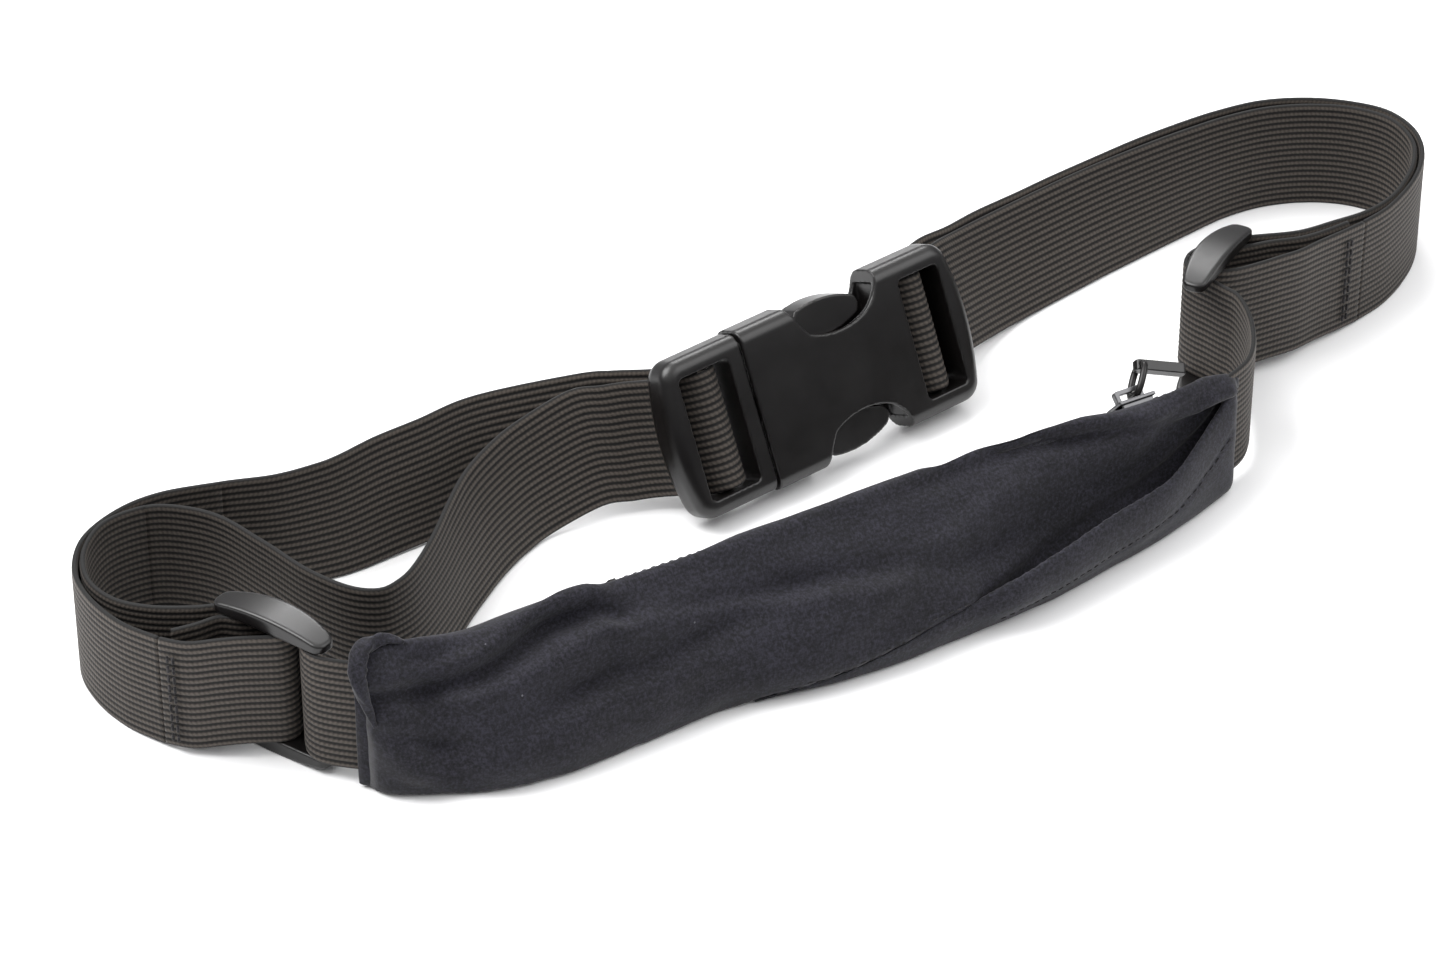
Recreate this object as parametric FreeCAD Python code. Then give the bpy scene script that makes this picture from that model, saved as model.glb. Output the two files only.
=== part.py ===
import FreeCAD, Part
import math
import os

# A folded waist belt: a stretch pouch with a zip, two elastic straps standing
# on edge, two three-bar adjusters and a side-release buckle.
# Frame: +X along the pouch, +Z up, origin under the middle of the belt.

V = FreeCAD.Vector
UP = V(0, 0, 1)
ORIGIN_SHIFT = V(-1.666, 2.298, 0.094)  # brings the middle of the belt's footprint to the origin

# Webbing
WEB_WIDTH = 25.0
WEB_THICK = 1.5
LIFT = 3.1                      # height of the webbing inside a slot

# Three-bar adjuster
ADJ_LENGTH = 26.0
ADJ_HEIGHT = 31.2
ADJ_RAIL = 2.8
ADJ_FRONT = 1.5                 # flat outer edge of the rails
ADJ_BACK = -5.0                 # crown of the arched inner edge
ADJ_BAR_N = -2.6                # middle of the bars, across the adjuster
ADJ_BAR_R = 1.0
LEFT_ADJ = V(-135.7, -20.2, 0)
LEFT_ADJ_ANGLE = -65.0
RIGHT_ADJ = V(91.7, -3.9, 0)
RIGHT_ADJ_ANGLE = 211.0

# Side-release buckle, in its own frame: u along it, v across it, w out of its face
BUCKLE_MIDDLE = V(3.5, 13.6, 18.0)
BUCKLE_TURN = 9.6
BUCKLE_LEAN = 25.0
BUCKLE_HALF = 17.3
BUCKLE_THICK = 9.0
MOUTH_U = -17.5
FEMALE_END_U = 37.0
MALE_END_U = -36.5
END_BOW = 2.6
END_CORNER = 4.5
CAVITY_HALF = 14.7
CAVITY_THICK = 6.2
CAVITY_END_U = 18.5
SLOT_HALF = 13.2
SLOT_CORNER = 1.2
ARM_THICK = 5.6
ARM_PIVOT_U = -15.9
ARM_PIVOT_V = 11.3
BAR_RADIUS = 1.4
BAR_W = -0.6
FEMALE_BAR_U = 28.6
MALE_BAR_U = -28.0

# Pouch
WALL = 1.2
MOUTH_GAP = 7.0
BASE_TRIM = 0.02                # cut off below the floor, to leave one flat base
ZIP_START = -70.0
ZIP_END = 58.0
ZIP_Y = -35.8
ZIP_Z = 25.0
ZIP_TILT = 49.0
TOOTH_PITCH = 2.0
TOOTH_LENGTH = 1.9
SLIDER_X = 48.5
WIRE_R = 0.6
PULL_LENGTH = 6.6
PIN_HEIGHT = 2.3                # pull's hinge above the middle of the zip
PULL_HALF = 2.3
PULL_FALL = 37.0                # lean of the pull's wire toward the pouch's end
TAB_LENGTH = 9.6
TAB_DROP = 22.0

# Sewing thread
THREAD_R = 0.3
THREAD_LENGTH = 1.5
THREAD_PITCH = 2.3
THREAD_COUNT = 9


def save(name, shape):
    """Write one node."""
    shape.translate(ORIGIN_SHIFT)
    shape.exportStep("parts/%s.step" % name)


def spline_edge(points):
    """Smooth edge through points."""
    curve = Part.BSplineCurve()
    curve.interpolate(points)
    return curve.toShape()


def box(u0, u1, v0, v1, w0, w1):
    """Box between pairs of limits."""
    return Part.makeBox(u1 - u0, v1 - v0, w1 - w0, V(u0, v0, w0))


def prism(points, bottom, height):
    """Upright prism on a polygon of (x, y) corners."""
    corners = [V(x, y, bottom) for x, y in points]
    wire = Part.makePolygon(corners + corners[:1])
    return Part.Face(wire).extrude(V(0, 0, height))


def section_corners(point, along, lean):
    """Four corners of the webbing's section at a point of its lower edge."""
    outward = V(-along.y, along.x, 0)
    outward.normalize()
    sine = math.sin(math.radians(lean))
    cosine = math.cos(math.radians(lean))
    rise = outward * sine + UP * cosine
    across = outward * cosine - UP * sine
    foot = point + UP * (abs(sine) * WEB_THICK / 2)
    low_in = foot - across * (WEB_THICK / 2)
    low_out = foot + across * (WEB_THICK / 2)
    return low_in, low_out, low_out + rise * WEB_WIDTH, low_in + rise * WEB_WIDTH


def tube(rows):
    """Solid through rows of four corners, capped at both ends."""
    edges = [spline_edge([row[c] for row in rows]) for c in range(4)]
    faces = [Part.makeRuledSurface(edges[c], edges[(c + 1) % 4], 1) for c in range(4)]
    for row in (rows[0], rows[-1]):
        faces.append(Part.Face(Part.makePolygon(list(row) + [row[0]])))
    shell = Part.makeShell(faces)
    shell.sewShape()
    solid = Part.makeSolid(shell)
    if solid.Volume < 0:
        solid.reverse()
    return solid


def webbing(stations, per_span=5):
    """Webbing on edge along stations (x, y, lower edge, lean); outward is to the left."""
    points = [V(x, y, z) for x, y, z, lean in stations]
    path = Part.BSplineCurve()
    path.interpolate(points)
    marks = [path.parameter(p) for p in points]
    rows = []
    for i in range(len(points) - 1):
        count = per_span + (1 if i == len(points) - 2 else 0)
        for k in range(count):
            share = k / per_span
            mark = marks[i] + (marks[i + 1] - marks[i]) * share
            lean = stations[i][3] + (stations[i + 1][3] - stations[i][3]) * share
            rows.append(section_corners(path.value(mark), path.tangent(mark)[0], lean))
    return tube(rows)


def adjuster_point(origin, angle, side, s, n):
    """Plan point from a distance s along an adjuster and n out of its face."""
    c = math.cos(math.radians(angle))
    k = math.sin(math.radians(angle))
    return origin.x + s * c + n * side * k, origin.y + s * k - n * side * c


def left_at(s, n, z=LIFT, lean=0):
    """Webbing station at the left adjuster."""
    x, y = adjuster_point(LEFT_ADJ, LEFT_ADJ_ANGLE, 1, s, n)
    return x, y, z, lean


def right_at(s, n, z=LIFT, lean=0):
    """Webbing station at the right adjuster."""
    x, y = adjuster_point(RIGHT_ADJ, RIGHT_ADJ_ANGLE, -1, s, n)
    return x, y, z, lean


def adjuster(origin, angle, side):
    """Three-bar slide: two arched rails, two end bars and a middle bar."""
    half = ADJ_LENGTH / 2
    front = V(-half, ADJ_FRONT, 0), V(half, ADJ_FRONT, 0)
    back = V(-half, -2.6, 0), V(0, ADJ_BACK, 0), V(half, -2.6, 0)
    outline = Part.Wire([
        Part.LineSegment(back[0], front[0]).toShape(),
        Part.LineSegment(front[0], front[1]).toShape(),
        Part.LineSegment(front[1], back[2]).toShape(),
        Part.Arc(back[2], back[1], back[0]).toShape(),
    ])
    rail = Part.Face(outline).extrude(V(0, 0, ADJ_RAIL))
    upper = rail.copy()
    upper.translate(V(0, 0, ADJ_HEIGHT - ADJ_RAIL))
    solid = rail.fuse(upper)
    middle = Part.makeCylinder(ADJ_BAR_R, ADJ_HEIGHT - 2, V(0, ADJ_BAR_N, 1))
    solid = solid.fuse(middle)
    for place in (-half, half - 2.0):
        bar = box(place, place + 2.0, -2.6, -1.7, 1, ADJ_HEIGHT - 1)
        solid = solid.fuse(bar)
    solid = solid.removeSplitter()
    ends = [e for e in solid.Edges if e.Length > ADJ_RAIL - 0.01 and e.Length < ADJ_RAIL + 0.01
            and abs(abs(e.CenterOfMass.x) - half) < 0.1]
    solid = solid.makeFillet(1.8, ends)
    if side < 0:
        solid = solid.mirror(V(0, 0, 0), V(0, 1, 0))
    # The local +Y points out of the face, to the right of +X on the left adjuster.
    solid = solid.mirror(V(0, 0, 0), V(0, 1, 0))
    solid.rotate(V(0, 0, 0), UP, angle)
    solid.translate(origin)
    return solid


def to_buckle(shape):
    """Carry a shape from the buckle's frame (u, v, w) to the belt's frame."""
    turn = math.radians(BUCKLE_TURN)
    lean = math.radians(BUCKLE_LEAN)
    back = V(-math.sin(turn), math.cos(turn), 0)
    u = V(math.cos(turn), math.sin(turn), 0)
    v = back * math.sin(lean) + UP * math.cos(lean)
    w = back * -math.cos(lean) + UP * math.sin(lean)
    o = BUCKLE_MIDDLE
    place = FreeCAD.Matrix(u.x, v.x, w.x, o.x, u.y, v.y, w.y, o.y, u.z, v.z, w.z, o.z, 0, 0, 0, 1)
    return moved(shape, place)


def moved(shape, matrix):
    """Rigid copy of a shape at a placement."""
    copy = shape.copy()
    copy.Placement = FreeCAD.Placement(matrix).multiply(copy.Placement)
    return copy


def slab(face, thick):
    """Plate of a given thickness, centred on w = 0."""
    solid = face.extrude(V(0, 0, thick))
    solid.translate(V(0, 0, -thick / 2))
    return solid


def half_blank(open_u, end_u, half, thick, rim):
    """Blank of a buckle half: straight sides, bowed end, rounded corners and rim."""
    sign = 1 if end_u > open_u else -1
    a = V(open_u, -half, 0)
    b = V(end_u, -half, 0)
    c = V(end_u + sign * END_BOW, 0, 0)
    d = V(end_u, half, 0)
    e = V(open_u, half, 0)
    edges = [
        Part.LineSegment(a, b).toShape(),
        Part.Arc(b, c, d).toShape(),
        Part.LineSegment(d, e).toShape(),
        Part.LineSegment(e, a).toShape(),
    ]
    solid = slab(Part.Face(Part.Wire(edges)), thick)
    corners = [g for g in solid.Edges if abs(g.CenterOfMass.z) < 0.01 and abs(g.CenterOfMass.x - end_u) < 0.01]
    solid = solid.makeFillet(END_CORNER, corners)
    outline = [g for g in solid.Edges
               if abs(g.CenterOfMass.z) > thick / 2 - 0.01 and abs(g.CenterOfMass.x - open_u) > 0.01]
    return solid.makeFillet(rim, outline)


def webbing_slot(low_u, high_u):
    """Slot through a buckle half, with rounded corners."""
    slot = box(low_u, high_u, -SLOT_HALF, SLOT_HALF, -BUCKLE_THICK, BUCKLE_THICK)
    return slot.makeFillet(SLOT_CORNER, [e for e in slot.Edges if abs(e.CenterOfMass.z) < 0.01])


def window(side):
    """Side cut-out that leaves a release arm free to press."""
    def p(u, v):
        return V(u, side * v, 0)
    edges = [
        Part.Arc(p(-5.2, 19.5), p(-3.6, 15.0), p(-0.8, 10.6)).toShape(),
        Part.Arc(p(-0.8, 10.6), p(5.6, 8.8), p(13.0, 9.8)).toShape(),
        Part.Arc(p(13.0, 9.8), p(17.2, 13.2), p(18.4, 19.5)).toShape(),
        Part.LineSegment(p(18.4, 19.5), p(-5.2, 19.5)).toShape(),
    ]
    return slab(Part.Face(Part.Wire(edges)), BUCKLE_THICK + 4)


def female_body():
    """Socket half: mouth, side windows, webbing slot and end bar."""
    body = half_blank(MOUTH_U, FEMALE_END_U, BUCKLE_HALF, BUCKLE_THICK, 2.8)
    half = CAVITY_THICK / 2
    cavity = box(MOUTH_U - 1, CAVITY_END_U, -CAVITY_HALF, CAVITY_HALF, -half, half)
    slot = webbing_slot(23.6, 34.4)
    bar = Part.makeCylinder(BAR_RADIUS, 2 * SLOT_HALF + 2, V(FEMALE_BAR_U, -SLOT_HALF - 1, BAR_W), V(0, 1, 0))
    return body.cut(cavity).cut(slot).cut(window(1)).cut(window(-1)).fuse(bar)


def male_frame():
    """Plug half: bowed frame, webbing bar, shoulder and centre guide."""
    inner_u = MOUTH_U - 0.4
    frame = half_blank(inner_u, MALE_END_U, BUCKLE_HALF - 0.4, BUCKLE_THICK - 1, 2.6)
    slot = webbing_slot(-34.3, -21.4)
    bar = Part.makeCylinder(BAR_RADIUS, 2 * SLOT_HALF + 2, V(MALE_BAR_U, -SLOT_HALF - 1, BAR_W), V(0, 1, 0))
    guide = box(MOUTH_U - 2, 9.0, -2.2, 2.2, -ARM_THICK / 2, ARM_THICK / 2)
    guide = guide.makeFillet(1.0, [e for e in guide.Edges if e.CenterOfMass.x > 8.5])
    return frame.cut(slot).fuse(bar).fuse(guide)


def release_arm(side):
    """Springy prong with a finger pad; its shoulder catches behind the mouth."""
    def p(u, v):
        return V(u, side * v, 0)
    root = ARM_PIVOT_U
    v0 = ARM_PIVOT_V
    edges = [
        Part.Arc(p(root, v0 - 1.5), p(root - 1.5, v0), p(root, v0 + 1.5)).toShape(),
        Part.LineSegment(p(root, v0 + 1.5), p(-3.4, 13.9)).toShape(),
        Part.LineSegment(p(-3.4, 13.9), p(-1.8, 15.8)).toShape(),
        Part.Arc(p(-1.8, 15.8), p(5.0, 16.3), p(12.0, 14.6)).toShape(),
        Part.Arc(p(12.0, 14.6), p(13.9, 12.4), p(12.4, 10.0)).toShape(),
        Part.Arc(p(12.4, 10.0), p(4.0, 8.4), p(-4.6, 9.9)).toShape(),
        Part.LineSegment(p(-4.6, 9.9), p(root, v0 - 1.5)).toShape(),
    ]
    return slab(Part.Face(Part.Wire(edges)), ARM_THICK)


def folded_ribbon(path):
    """Webbing folded round a bar of the buckle, through stations (u, w, drift across)."""
    centre = Part.BSplineCurve()
    centre.interpolate([V(u, drift, w) for u, w, drift in path])
    first = centre.FirstParameter
    last = centre.LastParameter
    count = 8 * len(path)
    half = V(0, WEB_WIDTH / 2, 0)
    rows = []
    for i in range(count + 1):
        mark = first + (last - first) * i / count
        point = centre.value(mark)
        along = centre.tangent(mark)[0]
        side = V(-along.z, 0, along.x)
        side.normalize()
        side = side * (WEB_THICK / 2)
        rows.append((point + side - half, point - side - half, point - side + half, point + side + half))
    return tube(rows)


def male_loop():
    """Webbing over the plug's bar: in behind the end bar, over the front and back."""
    return folded_ribbon([
        (-42.0, -12.8, 1.8), (-38.5, -11.0, 1.2), (-35.4, -8.6, 0.5), (-33.2, -4.8, 0.1), (-31.8, -0.6, 0),
        (-28.4, 2.8, 0), (-24.8, 1.8, 0), (-22.8, -1.4, 0), (-23.0, -5.0, 0), (-25.4, -8.6, 0),
        (-29.4, -12.6, 0.6), (-35.4, -17.2, 2.4), (-42.0, -20.8, 4.4),
    ])


def female_loop():
    """Webbing over the socket's bar."""
    return folded_ribbon([
        (43.0, -9.4, 0.8), (39.0, -8.4, 0.4), (35.4, -7.2, 0.1), (33.1, -4.4, 0), (32.4, -0.8, 0),
        (29.4, 2.8, 0), (26.4, 1.8, 0), (24.8, -1.2, 0), (25.1, -4.6, 0), (27.2, -7.8, 0),
        (31.0, -9.8, 0.1), (37.0, -11.8, 1.0), (43.0, -13.4, 1.8),
    ])


def buckle_station(u, w, drift):
    """Webbing station behind the buckle, lower edge at its slot, with its lean."""
    turn = math.radians(BUCKLE_TURN)
    lean = math.radians(BUCKLE_LEAN)
    back = V(-math.sin(turn), math.cos(turn), 0)
    along = V(math.cos(turn), math.sin(turn), 0)
    v_axis = back * math.sin(lean) + UP * math.cos(lean)
    w_axis = back * -math.cos(lean) + UP * math.sin(lean)
    foot = BUCKLE_MIDDLE + along * u + v_axis * (drift - WEB_WIDTH / 2) + w_axis * w
    return foot.x, foot.y, foot.z - math.sin(lean) * WEB_THICK / 2, BUCKLE_LEAN


LEFT_LOOP = [
    (-153.6, -9.0, 0.6, 0), (-150.2, -13.9, 1.4, 0), left_at(-6.8, 7.9, 2.6),
    left_at(-3.2, 5.4), left_at(0.2, 2.6), left_at(2.6, 0.4), left_at(3.4, -2.2),
    left_at(2.2, -4.4), left_at(0.0, -5.1), left_at(-2.3, -4.4), left_at(-4.2, -2.2),
    left_at(-7.0, 0.4), left_at(-10.6, 2.2), (-146.6, -10.6, 2.4, 0), (-151.0, -8.6, 1.2, 0),
]
LEFT_BEND = [
    (-153.75, -8.75, 0.6, 0), (-157.6, 0.0, 0, 0), (-159.4, 10.0, 0, 0), (-158.3, 19.5, 0, 0),
    (-152.8, 28.4, 0, 0), (-143.5, 33.6, 0, 0), (-133.5, 34.9, 0, 0), (-121.8, 31.0, 0, 3),
    (-112.0, 26.4, 0, 7), (-103.0, 24.0, 0, 12),
]
LEFT_BACK = [
    (-102.8, 23.97, 0, 12), (-96.0, 23.6, 0, 15), (-86.5, 24.6, 0, 19), (-76.0, 25.8, 0, 20),
    (-62.0, 26.2, 0, 21), buckle_station(-48.0, -23.0, 6.2),
]
LEFT_THREADED = [
    left_at(19.4, -1.2), left_at(15.0, 0.9), left_at(11.2, 1.6), left_at(8.3, 0.5),
    left_at(6.0, -2.2), left_at(4.3, -5.6), left_at(0.4, -7.3), left_at(-3.4, -6.5),
    left_at(-6.7, -3.9), left_at(-9.8, -1.2), left_at(-13.2, -0.4), (-144.6, -5.2, 2.2, 0),
    (-150.6, 1.4, 0.8, 0), (-154.6, 8.4, 0, 0), (-155.9, 16.0, 0, 0), (-153.0, 24.0, 0, 0),
    (-146.4, 30.6, 0, 0), (-137.8, 31.8, 0, 0), (-131.2, 28.0, 0, 0), (-126.2, 21.4, 0, 0),
    (-122.9, 10.5, 0, 0),
]
LEFT_SLACK = [
    (-122.8, 10.2, 0, 0), (-120.0, -2.0, 0, 1), (-116.0, -11.5, 0, 2), (-111.0, -16.2, 0, 3),
    (-105.4, -16.4, 0, 5), (-99.4, -14.0, 0, 7), (-91.5, -8.0, 0, 9), (-82.0, 0.0, 0, 13),
    (-73.4, 6.6, 0, 17), (-65.6, 11.4, 0, 19), (-57.0, 14.8, 0.4, 21), buckle_station(-48.2, -14.9, 3.0),
]
RIGHT_BACK = [
    buckle_station(45.0, -13.9, 2.0), (56.5, 32.6, 1.2, 23), (65.0, 36.0, 0.4, 21), (75.4, 38.4, 0, 20),
    (87.0, 40.8, 0, 19), (98.0, 43.0, 0, 17), (109.0, 45.8, 0, 13), (120.0, 48.0, 0, 9), (130.4, 49.6, 0, 5),
]
RIGHT_BEND = [
    (130.7, 49.65, 0, 5), (140.0, 49.2, 0, 3), (149.4, 46.0, 0, 1), (156.8, 40.6, 0, 0), (161.8, 33.6, 0, 0),
    (162.6, 25.6, 0, 0), (160.0, 18.0, 0, 0), (154.6, 11.2, 0, 0), (147.0, 5.2, 0, 0),
    (138.6, 0.8, 0, 0), (130.0, -2.0, 0.4, 0),
]
RIGHT_LOOP = [
    (129.7, -2.1, 0.4, 0), (123.4, -3.7, 1.0, 0), (116.2, -5.4, 1.8, 0), right_at(-13.6, 12.2, 2.6),
    right_at(-8.5, 9.8), right_at(-4.1, 7.0), right_at(0.2, 3.9), right_at(2.8, 0.8),
    right_at(3.4, -2.2), right_at(2.2, -4.4), right_at(0.0, -5.1), right_at(-2.3, -4.4),
    right_at(-4.4, -2.2), right_at(-7.2, 0.3), right_at(-10.2, 3.0), right_at(-13.2, 5.6),
    (113.2, -3.0, 2.4, 0), (120.2, -2.0, 1.4, 0), (126.6, -0.9, 0.8, 0),
]
RIGHT_THREADED = [
    (140.6, 4.9, 0, 0), (132.8, 2.0, 0.4, 0), (123.6, 0.2, 1.2, 0), (114.0, -0.6, 2.2, 0),
    right_at(-14.0, 2.6), right_at(-12.0, 0.2), right_at(-9.4, -1.7), right_at(-6.4, -4.2),
    right_at(-3.3, -6.5), right_at(0.3, -7.3), right_at(3.9, -6.0), right_at(5.7, -2.8),
    right_at(6.7, 0.8), right_at(7.9, 4.4), (87.9, -15.6, LIFT, 0), (86.6, -21.2, 2.6, 0),
    (84.0, -26.6, 2.2, 0), (80.4, -31.8, 2.0, 0), (76.0, -35.6, 2.0, 0), (70.3, -38.4, 2.0, 0),
]
RIGHT_INNER = [
    buckle_station(46.0, -9.9, 1.0), (56.5, 28.8, 1.6, 24), (65.0, 32.2, 0.4, 22), (75.4, 35.0, 0, 20),
    (87.0, 37.6, 0, 18), (98.0, 40.0, 0, 15), (109.0, 41.8, 0, 11), (120.0, 43.6, 0, 7), (130.4, 45.0, 0, 3),
    (140.0, 44.2, 0, 1), (149.0, 41.0, 0, 0), (155.8, 35.6, 0, 0), (159.0, 28.6, 0, 0), (157.6, 21.0, 0, 0),
    (153.2, 14.4, 0, 0), (147.4, 9.2, 0, 0), (140.9, 5.1, 0, 0),
]


# Pouch sections: x, front foot, front bulge, top, back top, back foot.
POUCH = [
    (-126.0, -40.6, -41.0, -38.6, 28.0, -36.0),
    (-117.0, -46.0, -47.6, -37.6, 28.8, -33.6),
    (-104.0, -52.0, -53.8, -39.4, 28.6, -31.4),
    (-60.0, -52.6, -54.6, -39.6, 28.5, -30.4),
    (-20.0, -55.0, -57.2, -38.8, 28.6, -30.2),
    (18.0, -53.6, -55.8, -37.6, 28.8, -30.0),
    (45.0, -47.6, -50.6, -39.0, 28.4, -31.0),
    (60.0, -43.6, -47.0, -38.6, 27.8, -32.4),
    (70.0, -40.6, -42.2, -38.4, 27.2, -35.6),
]


def pouch_section(row, inset, floor):
    """Closed outline of the pouch at one station, moved in by a wall thickness."""
    x, foot, bulge, top, height, back = row
    points = [
        V(x, foot + inset, floor),
        V(x, bulge + inset, max(7.0, floor)),
        V(x, bulge * 0.62 + top * 0.38 + inset, 18.5),
        V(x, top - 2.6 + inset * 0.6, height - 2.4 - inset * 0.6),
        V(x, top + inset * 0.1, height - inset),
        V(x, back * 0.75 + top * 0.25 - inset * 0.8, height - 7.4 - inset * 0.8),
        V(x, back - inset, 13.0),
        V(x, back - 1.0 - inset, floor),
    ]
    return Part.makePolygon(points + points[:1])


def pouch_wall():
    """Fabric tube, open at both sewn ends."""
    outer = Part.makeLoft([pouch_section(row, 0, -BASE_TRIM) for row in POUCH], True, True)
    outer = outer.common(box(-140, 90, -70, 0, 0, 60))
    core = [list(row) for row in POUCH]
    core[0][0] -= 1.0
    core[-1][0] += 1.0
    inner = Part.makeLoft([pouch_section(row, WALL, WALL) for row in core], True, True)
    return outer.cut(inner)


# Lower edge of the front panel: the pocket mouth climbs from the foot to the top corner.
MOUTH_LINE = [(-130, 1.6), (-51, 3.0), (-14, 7.0), (0, 8.6), (15, 10.6), (32, 12.0), (49, 13.6), (60, 17.4), (75, 25.0)]


def mouth_strip(low, high, x0, x1):
    """Slab that follows the mouth line between two heights, cut to a length."""
    bottom = [V(x, -70, z + low) for x, z in MOUTH_LINE]
    top = [V(x, -70, z + high) for x, z in reversed(MOUTH_LINE)]
    face = Part.Face(Part.makePolygon(bottom + top + bottom[:1]))
    strip = face.extrude(V(0, 32, 0))
    return strip.common(box(x0, x1, -71, -37, -60, 60))


def pouch_panels():
    """Front panel, pocket band and back panel, parted at the mouth and the ridge."""
    wall = pouch_wall()
    ridge = [(x - (8 if i == 0 else 0) + (8 if i == len(POUCH) - 1 else 0), top + 0.6)
             for i, (x, foot, bulge, top, height, back) in enumerate(POUCH)]
    behind = prism(ridge + [(90, 0), (-140, 0)], -5, 60)
    front_side = prism(ridge + [(90, -80), (-140, -80)], -5, 60)
    zip_window = zip_place(box(ZIP_START - 4.3, ZIP_END + 3.3, -3.8, 3.8, -8, 8))
    back = wall.common(behind).cut(zip_window)
    front = wall.common(front_side).cut(zip_window)
    upper = front.common(mouth_strip(0.15, 60, -140, 90)).cut(mouth_strip(0, MOUTH_GAP, 2, 58))
    lower = front.common(mouth_strip(-60, -0.15, -140, 90))
    return upper, lower, back


def zip_place(shape):
    """Carry a shape from the zip's frame to the back slope of the pouch."""
    shape = shape.copy()
    shape.rotate(V(0, 0, 0), V(1, 0, 0), -ZIP_TILT)
    shape.translate(V(0, ZIP_Y, ZIP_Z))
    return shape


def zip_tape(side):
    """One woven tape of the zip."""
    y0, y1 = (0.9, 2.3) if side > 0 else (-2.3, -0.9)
    tape = box(ZIP_START - 4, ZIP_END + 3, y0, y1, -1.6, -1.0)
    return zip_place(tape)


def zip_teeth(side):
    """One row of moulded teeth."""
    teeth = []
    count = int((ZIP_END - ZIP_START) / TOOTH_PITCH)
    shift = 0 if side > 0 else TOOTH_PITCH / 2
    for i in range(count):
        x = ZIP_START + shift + i * TOOTH_PITCH
        y0, y1 = (-0.7, TOOTH_LENGTH) if side > 0 else (-TOOTH_LENGTH, 0.7)
        teeth.append(zip_place(box(x, x + 0.8, y0, y1, -0.9, 0.4)))
    return Part.makeCompound(teeth)


def zip_stops():
    """Metal stops clamped at the ends of the teeth."""
    stops = []
    for x in (ZIP_START - 2.4, ZIP_END + 0.4):
        stops.append(zip_place(box(x, x + 1.6, -1.8, 1.8, -0.95, 0.6)))
    return Part.makeCompound(stops)


def zip_slider():
    """Slider: upper and lower plates joined by side walls, with a bridge on top."""
    body = box(-4.2, 4.2, -3.4, 3.4, 0.7, 1.5)
    body = body.fuse(box(-3.6, 3.6, -2.9, -2.3, -0.7, 0.9)).fuse(box(-3.6, 3.6, 2.3, 2.9, -0.7, 0.9))
    body = body.makeFillet(0.3, [e for e in body.Edges if e.CenterOfMass.z > 1.45])
    bridge = box(-3.2, 3.2, -0.8, 0.8, 1.4, 4.1)
    bridge = bridge.cut(box(-2.2, 2.2, -1, 1, 1.5, 3.1))
    bridge = bridge.makeFillet(0.6, [e for e in bridge.Edges if e.CenterOfMass.z > 4.0 and e.Length < 1.7])
    slider = body.fuse(bridge).removeSplitter()
    slider.translate(V(SLIDER_X, 0, 0))
    return zip_place(slider)


def pull_place(shape):
    """Carry a shape from the pull's frame, its wire along +Z, to the slider's bridge."""
    shape = shape.copy()
    shape.rotate(V(0, 0, 0), V(0, 1, 0), PULL_FALL)
    shape.translate(V(SLIDER_X + 1.3, 0, PIN_HEIGHT))
    return zip_place(shape)


def zip_pull():
    """Wire frame of the pull, threaded through the slider's bridge."""
    wire = None
    for height in (0, PULL_LENGTH):
        cross = Part.makeCylinder(WIRE_R, 2 * PULL_HALF, V(0, -PULL_HALF, height), V(0, 1, 0))
        wire = cross if wire is None else wire.fuse(cross)
    for side in (-1, 1):
        foot = V(0, side * PULL_HALF, 0)
        wire = wire.fuse(Part.makeCylinder(WIRE_R, PULL_LENGTH, foot))
        wire = wire.fuse(Part.makeSphere(WIRE_R, foot))
        wire = wire.fuse(Part.makeSphere(WIRE_R, foot + V(0, 0, PULL_LENGTH)))
    return pull_place(wire)


def pull_tab():
    """Moulded grip on the end of the pull, bent over to the pouch's end."""
    tab = box(-1.3, TAB_LENGTH, -1.4, 1.4, -1.1, 1.1)
    tab = tab.makeFillet(0.8, [e for e in tab.Edges if e.Length > 2.1 and e.Length < 2.3])
    hole = Part.makeCylinder(WIRE_R + 0.1, 8, V(0, -4, 0), V(0, 1, 0))
    tab = tab.cut(hole)
    tab.rotate(V(0, 0, 0), V(0, 1, 0), TAB_DROP - PULL_FALL)
    tab.translate(V(0, 0, PULL_LENGTH))
    return pull_place(tab)


def seam(x, y, z, along, side):
    """Two columns of thread on the face of a sewn strap."""
    c = math.cos(math.radians(along))
    k = math.sin(math.radians(along))
    out = side * (WEB_THICK / 2 + THREAD_R + 0.05)
    threads = []
    for column in (-0.6, 0.6):
        for i in range(THREAD_COUNT):
            foot = V(x + column * c - out * k, y + column * k + out * c, z + i * THREAD_PITCH)
            threads.append(Part.makeCylinder(THREAD_R, THREAD_LENGTH, foot))
    return Part.makeCompound(threads)


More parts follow.
